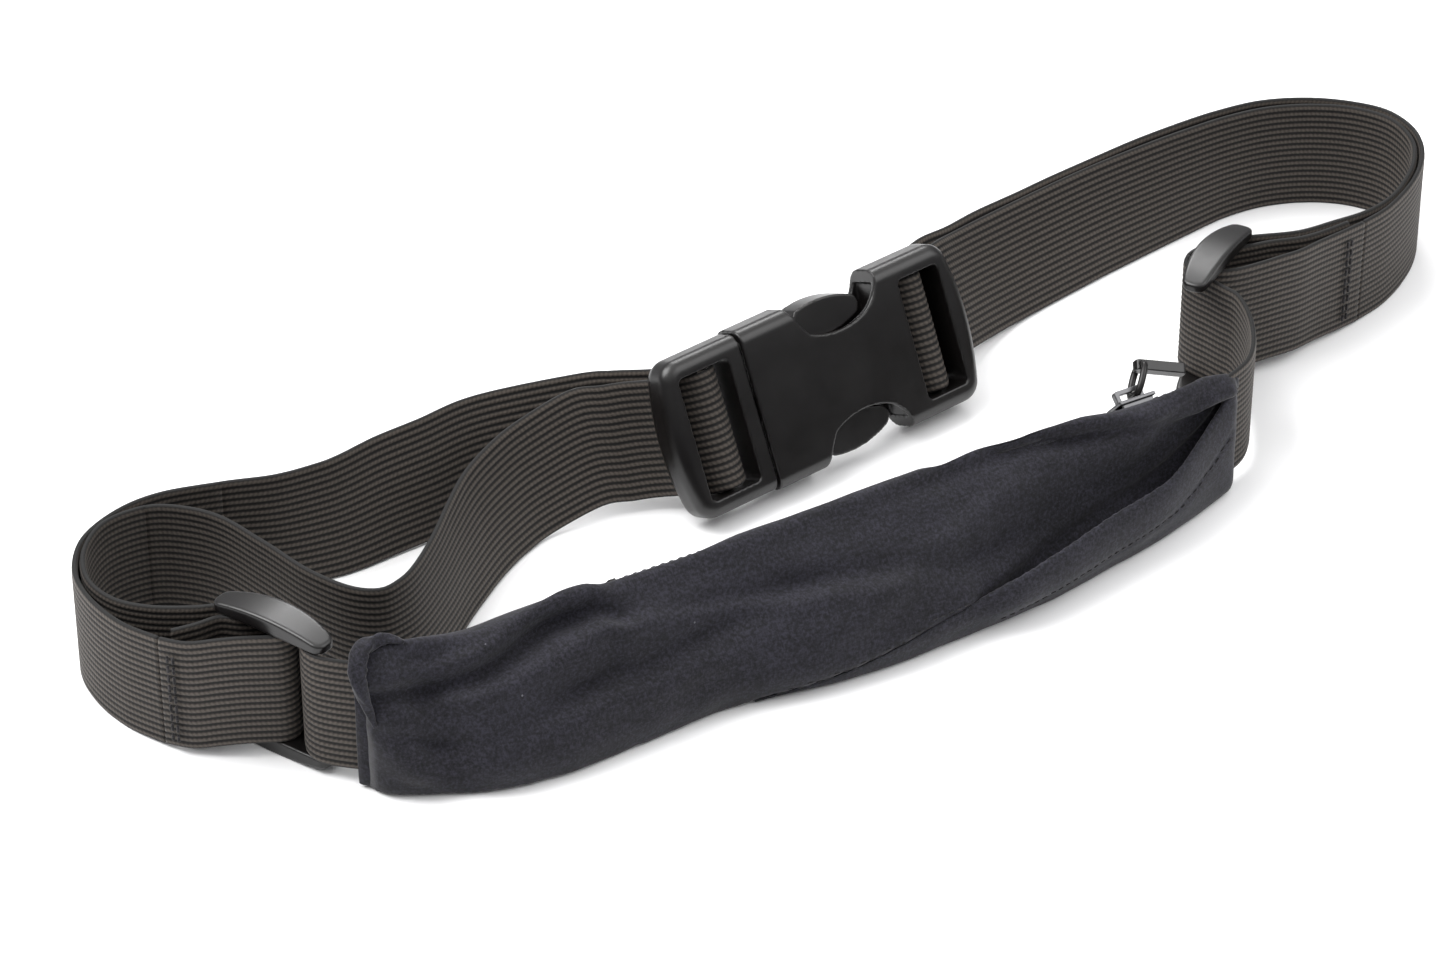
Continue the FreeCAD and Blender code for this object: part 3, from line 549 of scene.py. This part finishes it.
# ---------------------------------------------------------------- pouch
# x, foot, depth of the bulge, ridge, height, back
POUCH = [
    (-126.3, -42.0, -0.6, -38.8, 27.6, -36.4),
    (-124.6, -44.2, -1.2, -37.2, 28.8, -35.2),
    (-120.5, -46.8, -1.8, -36.2, 29.9, -34.2),
    (-114.0, -50.2, -1.9, -37.2, 29.2, -33.0),
    (-104.0, -54.0, -1.5, -39.9, 28.4, -31.6),
    (-92.0, -55.6, -1.0, -39.5, 28.4, -30.8),
    (-75.0, -54.6, -1.2, -39.4, 28.5, -30.4),
    (-55.0, -53.2, -1.8, -39.3, 28.5, -30.4),
    (-35.0, -56.4, -1.6, -38.9, 28.6, -30.2),
    (-20.0, -57.2, -1.5, -38.2, 28.7, -30.2),
    (0.0, -56.2, -1.7, -37.8, 29.4, -30.0),
    (18.0, -54.8, -1.5, -37.2, 29.8, -30.0),
    (33.0, -51.8, -1.4, -38.2, 28.9, -30.4),
    (47.0, -48.8, -1.4, -39.6, 28.3, -31.2),
    (56.0, -46.2, -1.4, -38.9, 28.5, -32.2),
    (64.0, -43.4, -1.2, -37.9, 28.6, -33.6),
    (69.5, -41.4, -0.8, -37.6, 27.6, -35.0),
    (71.6, -40.2, -0.4, -38.0, 26.2, -36.4),
]
MOUTH = [(-60.0, 0.2), (-51.0, 0.9), (-32.0, 3.6), (-14.0, 7.1), (0.0, 8.8), (15.0, 10.6), (32.0, 12.4),
         (49.0, 14.3), (60.0, 18.0), (66.0, 21.0), (72.0, 25.0)]
# Rows of the cloth round the pouch, and of the band
FRONT = 60                      # rows down the front
REST = 44                       # rows round the back
BAND_ROWS = 34
ROLL_ROWS = 5                   # rows of the band's rolled lip
BAND_TOP = 21.4                 # a higher mouth adds a point to the band's outline


def table_at(table, x):
    """Smooth value of a table's columns at x."""
    rows = [r[0] for r in table]
    x = min(max(x, rows[0]), rows[-1])
    i = max(k for k in range(len(rows) - 1) if rows[k] <= x)
    a, b, c, d = (table[max(i - 1, 0)], table[i], table[i + 1], table[min(i + 2, len(table) - 1)])
    t = (x - b[0]) / (c[0] - b[0])
    h = c[0] - b[0]
    out = []
    for k in range(1, len(b)):
        slope_b = (c[k] - a[k]) / max(c[0] - a[0], 1e-6) * h
        slope_c = (d[k] - b[k]) / max(d[0] - b[0], 1e-6) * h
        t2, t3 = t * t, t * t * t
        out.append((2 * t3 - 3 * t2 + 1) * b[k] + (t3 - 2 * t2 + t) * slope_b
                   + (3 * t2 - 2 * t3) * c[k] + (t3 - t2) * slope_c)
    return out


def zip_point(y, z):
    """Point of the zip's cross-section."""
    c, s = math.cos(ZIP_TILT), math.sin(ZIP_TILT)
    return (ZIP_Y + y * c + z * s, ZIP_Z - y * s + z * c)


def even(points, count):
    """Smooth open line through (y, z) points, evenly spaced."""
    dense = smooth_row(points, 16)
    sums = [0.0]
    for a, b in zip(dense, dense[1:]):
        sums.append(sums[-1] + math.dist(a, b))
    out = []
    k = 0
    for i in range(count):
        want = sums[-1] * i / (count - 1)
        while k < len(sums) - 2 and sums[k + 1] < want:
            k += 1
        t = (want - sums[k]) / max(sums[k + 1] - sums[k], 1e-9)
        out.append(tuple(p + (q - p) * t for p, q in zip(dense[k], dense[k + 1])))
    return out


def step(a, b, x):
    """Smooth step from 0 at a to 1 at b."""
    t = min(max((x - a) / (b - a), 0), 1)
    return t * t * (3 - 2 * t)


def recess(x):
    """How far the panel is drawn in behind the open mouth."""
    return 4.6 * step(-6, 22, x) * (1 - 0.75 * step(46, 70, x))


def section(x):
    """Front row from the zip's upper edge to the foot, and back row from its lower edge."""
    foot, swell, ridge, height, back = table_at(POUCH, x)
    mouth = table_at(MOUTH, x)[0]
    bulge = foot + swell
    upper = zip_point(-2.3, -0.3)
    lower = zip_point(2.3, -0.3)
    open_zip = step(ZIP_START - 9, ZIP_START - 3, x) * (1 - step(ZIP_END + 2, ZIP_END + 7, x))
    mid_y = ridge * 0.5 + back * 0.5
    closed = (mid_y + 0.6, height - 3.0)
    upper = tuple(c + (u - c) * open_zip for u, c in zip(upper, (closed[0] - 0.2, closed[1] + 0.2)))
    lower = tuple(c + (u - c) * open_zip for u, c in zip(lower, (closed[0] + 0.2, closed[1] - 0.2)))
    draw = recess(x)

    def pull(z):
        return draw * math.exp(-((z - mouth - 2.0) / 6.0) ** 2) + 0.55 * draw * step(mouth + 2, mouth - 4, z)

    front = [
        upper,
        ((upper[0] + ridge) / 2 - 0.2, (upper[1] + height) / 2 + 0.5),
        (ridge - 0.7, height - 0.3),
        (ridge - 2.9, height - 2.6),
        (bulge * 0.40 + ridge * 0.60 - 0.4 + pull(21.5), 21.5),
        (bulge * 0.68 + ridge * 0.32 - 0.3 + pull(16), 16.0),
        (bulge * 0.90 + ridge * 0.10 + pull(11), 11.0),
        (bulge + pull(6.5), 6.5),
        (foot - 0.5 + 0.5 * pull(2), 1.9),
        (foot + 1.3, 0.15),
        ((foot + back) / 2, 0.12),
        (back - 3.0, 0.15),
    ]
    behind = [
        lower,
        (back * 0.75 + ridge * 0.25 - 0.5, height - 7.6),
        (back + 0.1, 15.0),
        (back + 0.3, 8.0),
        (back - 0.6, 2.0),
        (back - 3.0, 0.15),
    ]
    return even(front, FRONT + 1), even(behind, REST + 1)


# Soft folds on the front: (x, share of the way down) from end to end, height, width
FOLDS = [
    ((-118, 0.40), (-88, 0.20), -0.9, 0.055),
    ((-88, 0.20), (-40, 0.34), -0.7, 0.05),
    ((-112, 0.28), (-84, 0.12), 0.8, 0.05),
    ((-108, 0.42), (-70, 0.27), 0.7, 0.06),
    ((-70, 0.27), (-20, 0.44), 0.6, 0.07),
    ((-116, 0.66), (-84, 0.50), -0.7, 0.06),
    ((-84, 0.50), (-50, 0.40), -0.5, 0.05),
    ((-106, 0.60), (-60, 0.56), 0.45, 0.07),
    ((-40, 0.30), (5, 0.50), -0.6, 0.06),
    ((-30, 0.55), (10, 0.30), 0.5, 0.07),
    ((20, 0.10), (52, 0.22), -0.7, 0.05),
    ((34, 0.08), (64, 0.30), 0.6, 0.05),
    ((0, 0.12), (30, 0.16), -0.4, 0.04),
]


def fold_height(x, share):
    """Height of the soft folds at a place on the front."""
    total = 0.0
    for (xa, sa), (xb, sb), height, width in FOLDS:
        length = xb - xa
        t = min(max((x - xa) / length, 0), 1)
        line = sa + (sb - sa) * t
        beyond = max(xa - x, x - xb, 0) / 9.0
        total += height * math.exp(-((share - line) / width) ** 2 - beyond * beyond)
    hollow = (-1.1 * math.exp(-((x + 113.5) / 4.5) ** 2)
              * step(0.12, 0.3, share) * (1 - step(0.75, 0.95, share)))
    pad = (0.9 * math.exp(-((x + 121.5) / 3.4) ** 2)
           * step(0.1, 0.35, share) * (1 - step(0.8, 0.98, share)))
    drift = (0.5 * noise.noise(Vector((x * 0.045, share * 2.5, 3.0)))
             + 0.22 * noise.noise(Vector((x * 0.16, share * 7, 9.0))))
    return 2.7 * total + 2.0 * hollow + 1.5 * pad + drift


def hem_step(x, z):
    """The upper panel's hem lies over the band left of the open mouth."""
    mouth = table_at(MOUTH, x)[0]
    share = step(-56, -44, x) * (1 - step(-4, 2, x))
    return 0.75 * share * step(mouth - 0.3, mouth + 0.9, z)


def offset_row(row, heights):
    """Move a row out along its own normal."""
    out = []
    for i, (y, z) in enumerate(row):
        a = row[max(i - 1, 0)]
        b = row[min(i + 1, len(row) - 1)]
        ty, tz = b[0] - a[0], b[1] - a[1]
        size = math.hypot(ty, tz) or 1.0
        ny, nz = tz / size, -ty / size
        lift = heights[i]
        out.append((y + ny * lift, max(z + nz * lift, 0.03)))
    return out


def grid(name, lines, material, thickness, nodes):
    """Cloth from rows of points, given a thickness unless it only closes an end."""
    size = len(lines[0])
    points = [p for line in lines for p in line]
    faces = []
    for i in range(len(lines) - 1):
        for k in range(size - 1):
            a = i * size + k
            faces.append((a, a + 1, a + size + 1, a + size))
    obj = mesh_object(name, points, faces, material, None)
    if thickness:
        solid = obj.modifiers.new("cloth", "SOLIDIFY")
        solid.thickness = thickness * MM
        solid.offset = -1
        baked(obj)
    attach(obj, "belt")
    if nodes:
        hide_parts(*nodes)
    return obj


def stations(low, high, pitch):
    """Even places from low to high, about pitch apart."""
    count = max(2, round((high - low) / pitch))
    return [low + (high - low) * i / count for i in range(count + 1)]


def rounded_end(x):
    """How far the cloth curves in towards the sewn ends."""
    near = min(x - POUCH_LEFT, POUCH_RIGHT - x) / 3.0
    return 1.7 * (1 - math.sqrt(1 - (1 - min(near, 1)) ** 2))


def drawn_in(row, x):
    """Bring a row toward the middle of the pouch near the sewn ends."""
    _, _, ridge, _, back = table_at(POUCH, x)
    middle = (ridge + back) / 2
    limit = rounded_end(x)
    return [(y - min(max((y - middle) * 0.35, -limit), limit), z) for y, z in row]


def front_row(x):
    """Outer line of the front panel with its folds."""
    row, _ = section(x)
    mouth = table_at(MOUTH, x)[0]
    heights = []
    for i, (_, z) in enumerate(row):
        share = i / FRONT
        fade = step(0.0, 0.09, share) * (1 - step(0.72, 0.8, share))
        hidden = step(-54, -44, x) * (1 - step(mouth - 1.4, mouth + 0.2, z))
        folds = fold_height(x, share / 0.75) * fade
        heights.append(folds * (1 - hidden) - 1.2 * hidden + hem_step(x, z))
    return drawn_in(offset_row(row, heights), x)


def back_row(x):
    """Outer line of the back panel, from the zip down."""
    _, behind = section(x)
    heights = []
    for i in range(REST + 1):
        share = i / REST
        fade = step(0.0, 0.15, share) * (1 - step(0.85, 1.0, share))
        wave = (0.7 * noise.noise(Vector((x * 0.05, share * 3.0, 21.0)))
                + 0.25 * noise.noise(Vector((x * 0.17, share * 6.0, 5.0))))
        heights.append(-wave * fade)
    return drawn_in(offset_row(behind, heights), x)


def build_pouch():
    """Stretch tube with its zip opening, pocket band and sewn ends."""
    xs = stations(POUCH_LEFT, POUCH_RIGHT, CLOTH_PITCH)
    front = [[(x, y, z) for y, z in front_row(x)] for x in xs]
    behind = [[(x, y, z) for y, z in reversed(back_row(x))] for x in xs]
    front_cloth = grid("pouch_front_cloth", front, SHELL, PANEL_THICK,
                       ["pouch_front_panel"])
    back_cloth = grid("pouch_back_cloth", behind, SHELL, PANEL_THICK,
                      ["pouch_back_panel"])
    stitches = build_band()
    ends = build_ends(front, behind)
    corner = rolled_corner()


def lip_gap(x):
    """How far the band's lip stands off the panel."""
    return 0.35 + 2.9 * step(-3, 10, x) * (1 - 0.7 * step(44, 68, x))


def band_line(x):
    """Band from its lip down to the foot, standing off the panel at the mouth."""
    foot, swell, ridge, _, _ = table_at(POUCH, x)
    mouth = table_at(MOUTH, x)[0]
    bulge = foot + swell
    outline = even([
        (bulge * 0.40 + ridge * 0.60 - 0.4, 21.5),
        (bulge * 0.68 + ridge * 0.32 - 0.3, 16.0),
        (bulge * 0.90 + ridge * 0.10, 11.0),
        (bulge, 6.5),
        (foot - 0.5, 1.9),
        (foot + 1.3, 0.15),
        (foot + 5.0, 0.1),
    ], 160)
    if mouth > BAND_TOP:
        outline = [(outline[0][0] + (mouth - BAND_TOP) * 0.35, mouth)] + outline
    start = min(range(len(outline)), key=lambda i: abs(outline[i][1] - mouth))
    cut = even(outline[start:][::4] + [outline[-1]], BAND_ROWS + 1)
    heights = []
    for i in range(BAND_ROWS + 1):
        share = i / BAND_ROWS
        out = lip_gap(x) * (1 - step(0.0, 0.6, share)) * step(-5, 3, x) + 0.3
        stitched = 0.22 * math.exp(-((share * (mouth + 6) - 7.6) / 0.7) ** 2) * step(2, 12, x)
        ripple = 0.25 * noise.noise(Vector((x * 0.11, share * 3, 40.0))) * step(0.1, 0.4, share)
        heights.append(out - stitched + ripple)
    line = offset_row(cut, heights)
    edge_y, edge_z = line[0]
    if x > -5:
        size = 0.55 * step(-5, 5, x) + 0.2
        roll = [
            (edge_y + size * 2.0, edge_z - 2.0 - 2.2),
            (edge_y + size * 2.0, edge_z - 2.0),
            (edge_y + size * 1.9, edge_z + size * 0.2),
            (edge_y + size * 1.4, edge_z + size * 0.85),
            (edge_y + size * 0.6, edge_z + size * 0.9),
        ]
    else:
        roll = [(edge_y + inset, edge_z) for inset in (0.3, 0.25, 0.2, 0.1, 0.05)]
    return drawn_in(roll + line, x)


def build_band():
    """Pocket band with the stitching of its mouth, and the hem's stitching, which it returns."""
    xs = stations(BAND_LEFT, BAND_RIGHT, CLOTH_PITCH)
    lines = [[(x, y, z) for y, z in band_line(x)] for x in xs]
    band = grid("pocket_band_cloth", lines, BAND, BAND_THICK, ["pouch_pocket_band"])
    stitches = []
    for x in stations(4.0, 67.0, THREAD_PITCH):
        line = band_line(x)
        following = band_line(x + THREAD_LENGTH)
        lip = line[ROLL_ROWS]
        k = next((i for i in range(ROLL_ROWS + 1, len(line)) if math.dist(line[i], lip) > 7.6), len(line) - 1)
        stitches.append(((x, line[k][0] - 0.12, line[k][1]),
                         (x + THREAD_LENGTH, following[k][0] - 0.12, following[k][1])))
    mouth_stitches = threads("mouth_hem_stitches", stitches, 0.16, "belt")
    stitches = []
    for x in stations(-46.0, -5.0, THREAD_PITCH):
        row = front_row(x)
        following = front_row(x + THREAD_LENGTH)
        mouth = table_at(MOUTH, x)[0]
        k = min(range(20, FRONT), key=lambda i: abs(row[i][1] - mouth - 1.1))
        stitches.append(((x, row[k][0] - 0.06, row[k][1]),
                         (x + THREAD_LENGTH, following[k][0] - 0.06, following[k][1])))
    return threads("hem_stitches", stitches, 0.1, "belt")


def threads(name, ends, radius, body):
    """Short rounded stitches between pairs of points."""
    points = []
    faces = []
    sides = 6
    for a, b in ends:
        a, b = Vector(a), Vector(b)
        axis = (b - a).normalized()
        side = axis.cross(UP).normalized()
        rise = axis.cross(side)
        base = len(points)
        shape = [(-0.06, 0.35), (0.1, 0.85), (0.5, 1.0), (0.9, 0.85), (1.06, 0.35)]
        for t, scale in shape:
            centre = a + (b - a) * t
            for k in range(sides):
                r = 2 * math.pi * k / sides
                points.append(centre + (side * math.cos(r) + rise * math.sin(r)) * radius * scale)
        for j in range(len(shape) - 1):
            for k in range(sides):
                m = (k + 1) % sides
                faces.append((base + j * sides + k, base + j * sides + m,
                              base + (j + 1) * sides + m, base + (j + 1) * sides + k))
        faces.append(tuple(base + k for k in reversed(range(sides))))
        faces.append(tuple(base + (len(shape) - 1) * sides + k for k in range(sides)))
    return mesh_object(name, points, faces, THREAD, body)


def tube(path, sides, closed=False, ripple=None):
    """Round skin along a path of (x, y, z, radius); ripple scales the radius at (ring, side)."""
    points = []
    last = len(path) - 1
    for i, (x, y, z, radius) in enumerate(path):
        before = path[(i - 1) % len(path)] if closed else path[max(i - 1, 0)]
        after = path[(i + 1) % len(path)] if closed else path[min(i + 1, last)]
        axis = (Vector(after[:3]) - Vector(before[:3])).normalized()
        side = axis.cross(Vector((0, 1, 0.3))).normalized()
        rise = axis.cross(side)
        for k in range(sides):
            turn = 2 * math.pi * k / sides
            size = radius * (ripple(i, k) if ripple else 1)
            points.append(Vector((x, y, z)) + side * math.cos(turn) * size + rise * math.sin(turn) * size)
    faces = []
    for i in range(len(path) if closed else last):
        j = (i + 1) % len(path)
        for k in range(sides):
            m = (k + 1) % sides
            faces.append((i * sides + k, i * sides + m, j * sides + m, j * sides + k))
    if not closed:
        faces.append(tuple(reversed(range(sides))))
        faces.append(tuple(last * sides + k for k in range(sides)))
    return points, faces


def rolled_corner():
    """Rolled, gathered hem at the upper left corner."""
    sides = 20
    path = smooth_row([
        (-116.5, -37.6, 29.2, 0.5), (-119.5, -36.6, 30.4, 1.0), (-122.6, -36.4, 30.6, 1.4),
        (-125.4, -37.4, 29.8, 1.7), (-127.3, -39.4, 27.6, 1.7), (-127.5, -40.9, 24.6, 1.4),
        (-126.6, -41.8, 21.0, 1.0), (-125.6, -42.6, 16.0, 0.4)], 8)

    def gather(i, k):
        pleat = 0.16 * math.sin(6 * math.pi * k / sides + i * 0.35)
        return 1 + pleat + 0.12 * noise.noise(Vector((i * 0.3, k * 0.4, 7.0)))

    points, faces = tube(path, sides, ripple=gather)
    return mesh_object("pouch_rolled_corner", points, faces, SHELL, "belt")


def build_ends(front, behind):
    """Caps that close the sewn ends round the webbing."""
    made = []
    for name, index, direction in (("pouch_left_end", 0, -1), ("pouch_right_end", -1, 1)):
        loop = front[index] + behind[index][1:]
        centre = Vector([sum(p[axis] for p in loop) for axis in range(3)]) / len(loop)
        lines = []
        for t in (0.0, 0.15, 0.35, 0.6, 0.85, 0.98):
            line = []
            for p in loop:
                q = Vector(p).lerp(Vector((centre.x, centre.y, p[2] * 0.92 + 1.0)), t)
                q.x += direction * (1.5 * math.sin(t * math.pi / 2) - 0.15)
                q.z = max(q.z, 0.45)
                line.append(tuple(q))
            lines.append(line + [line[0]])
        made.append(grid(name, lines, SHELL, 0, []))
    return made


# ---------------------------------------------------------------- hardware
def arched(obj, adjuster, drop):
    """Bend a slide's rails into shallow arches: their ends fall away from the middle."""
    x0, y0, angle, _ = adjuster
    along = Vector((math.cos(math.radians(angle)), math.sin(math.radians(angle)), 0))
    low = min(v.co.z for v in obj.data.vertices)
    high = max(v.co.z for v in obj.data.vertices)
    runs = [(v.co - place((x0, y0, 0))).dot(along) for v in obj.data.vertices]
    half = max(abs(run) for run in runs)
    for vertex, run in zip(obj.data.vertices, runs):
        share = (vertex.co.z - low) / (high - low)
        fall = drop * MM * (run / half) ** 2
        vertex.co.z += fall * (1 - step(0.0, 0.12, share) - step(0.88, 1.0, share))
        vertex.co.z = max(vertex.co.z, FLOOR_GAP * MM)
    obj.data.update()


def pull_point(across, up):
    """Point of the pull's wire, from its hinge on the slider."""
    fall = math.radians(PULL_FALL)
    y, z = zip_point(across, PULL_HINGE_Z + up * math.cos(fall))
    return (PULL_HINGE_X + up * math.sin(fall), y, z)


def build_pull():
    """Rounded wire ring of the pull."""
    half = [(0, -0.1), (1.7, 0.1), (2.5, 1.3), (2.8, 3.3), (2.6, 5.3), (1.8, 6.5), (0, 6.7)]
    outline = half + [(-across, up) for across, up in half[-2:0:-1]]
    ring = smooth_row(outline[-1:] + outline + outline[:2], 6)[6:-6]
    path = [(*pull_point(across, up), PULL_WIRE) for across, up in ring[:-1]]
    points, faces = tube(path, 14, closed=True)
    obj = mesh_object("zip_pull_wire", points, faces, METAL, "zip_handle")
    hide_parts("zip_pull")


def build_hardware():
    """Buckle, slides, zip and seam threads: name, node, voxel size and rounds of easing."""
    refined("buckle_socket", "female_body", 0.24, 8, BLACK, "belt")
    refined("buckle_plug_frame", "male_frame", 0.26, 5, BLACK, "buckle_plug")
    refined("buckle_upper_prong", "release_arm_upper", 0.26, 5, BLACK, "upper_arm")
    refined("buckle_lower_prong", "release_arm_lower", 0.26, 5, BLACK, "lower_arm")
    slide = refined("left_slide_moulding", "left_adjuster", 0.22, 6, BLACK, "left_slide",
                    SLIDE_SWELL)
    arched(slide, LEFT_ADJ, SLIDE_DROP)
    slide = refined("right_slide_moulding", "right_adjuster", 0.22, 6, BLACK, "right_slide",
                    SLIDE_SWELL)
    arched(slide, RIGHT_ADJ, SLIDE_DROP)
    refined("zip_runner_metal", "zip_slider", 0.1, 8, NICKEL, "zip_runner")
    build_pull()
    refined("zip_pull_grip", "zip_pull_tab", 0.14, 3, BLACK, "zip_handle")
    refined("zip_end_stops", "zip_stops", 0.1, 3, METAL, "belt")
    refined("zip_upper_teeth", "zip_teeth_upper", 0.17, 2, TEETH, "belt")
    refined("zip_lower_teeth", "zip_teeth_lower", 0.17, 2, TEETH, "belt")
    refined("zip_upper_tape", "zip_tape_upper", 0.2, 2, TAPE, "belt")
    refined("zip_lower_tape", "zip_tape_lower", 0.2, 2, TAPE, "belt")
    refined("left_seam_threads", "left_strap_stitches", 0.12, 2, THREAD, "belt")
    refined("right_seam_threads", "right_strap_stitches", 0.12, 2, THREAD, "belt")


# ---------------------------------------------------------------- stage
def build_stage():
    """White floor, graded world and three soft lamps."""
    mesh = bpy.data.meshes.new("floor")
    corners = [(x * FLOOR_SIDE, y * FLOOR_SIDE, 0) for x, y in ((-1, -1), (1, -1), (1, 1), (-1, 1))]
    mesh.from_pydata(corners, [], [(0, 1, 2, 3)])
    floor = bpy.data.objects.new("floor", mesh)
    bpy.context.scene.collection.objects.link(floor)
    mat, _, _ = new_material("floor_white", (0.93, 0.93, 0.935), 0.9, 0.1)
    mesh.materials.append(mat)
    world = bpy.data.worlds.new("studio")
    bpy.context.scene.world = world
    world.use_nodes = True
    tree = world.node_tree
    background = tree.nodes["Background"]
    background.inputs[1].default_value = 1.0
    sky = node(tree, "ShaderNodeTexCoord")
    split = node(tree, "ShaderNodeSeparateXYZ")
    tree.links.new(sky.outputs["Generated"], split.inputs[0])
    glow = ramp(tree, split.outputs[2], [(0.0, (0.16, 0.16, 0.17)), (0.35, (0.3, 0.3, 0.31)),
                                         (0.68, (0.95, 0.95, 0.95)), (1.0, (1.6, 1.6, 1.6))])
    tree.links.new(glow, background.inputs[0])
    for name, spot, size, power in (
            ("key", (-0.55, 0.35, 0.95), 0.8, 16.0),
            ("fill", (0.75, -0.55, 0.85), 0.9, 6.0),
            ("rim", (0.45, 0.85, 0.8), 0.4, 4.5)):
        data = bpy.data.lights.new(name, "AREA")
        data.size = size
        data.energy = power
        lamp = bpy.data.objects.new(name, data)
        bpy.context.scene.collection.objects.link(lamp)
        lamp.location = spot
        lamp.rotation_euler = (Vector((0, 0, 0)) - Vector(spot)).to_track_quat("-Z", "Y").to_euler()
    bpy.context.scene.view_settings.view_transform = "Standard"


def build_camera():
    """Long lens, looking down on the belt from the front left."""
    data = bpy.data.cameras.new("camera")
    data.lens = CAMERA_LENS
    data.sensor_width = 36.0
    data.clip_start = 0.05
    data.clip_end = 20.0
    camera = bpy.data.objects.new("camera", data)
    bpy.context.scene.collection.objects.link(camera)
    camera.location = place(CAMERA_SPOT)
    target = place(CAMERA_TARGET)
    camera.rotation_euler = (target - camera.location).to_track_quat("-Z", "Y").to_euler()
    bpy.context.scene.camera = camera


build_camera()
build_stage()
build_webbing()
build_pouch()
build_hardware()
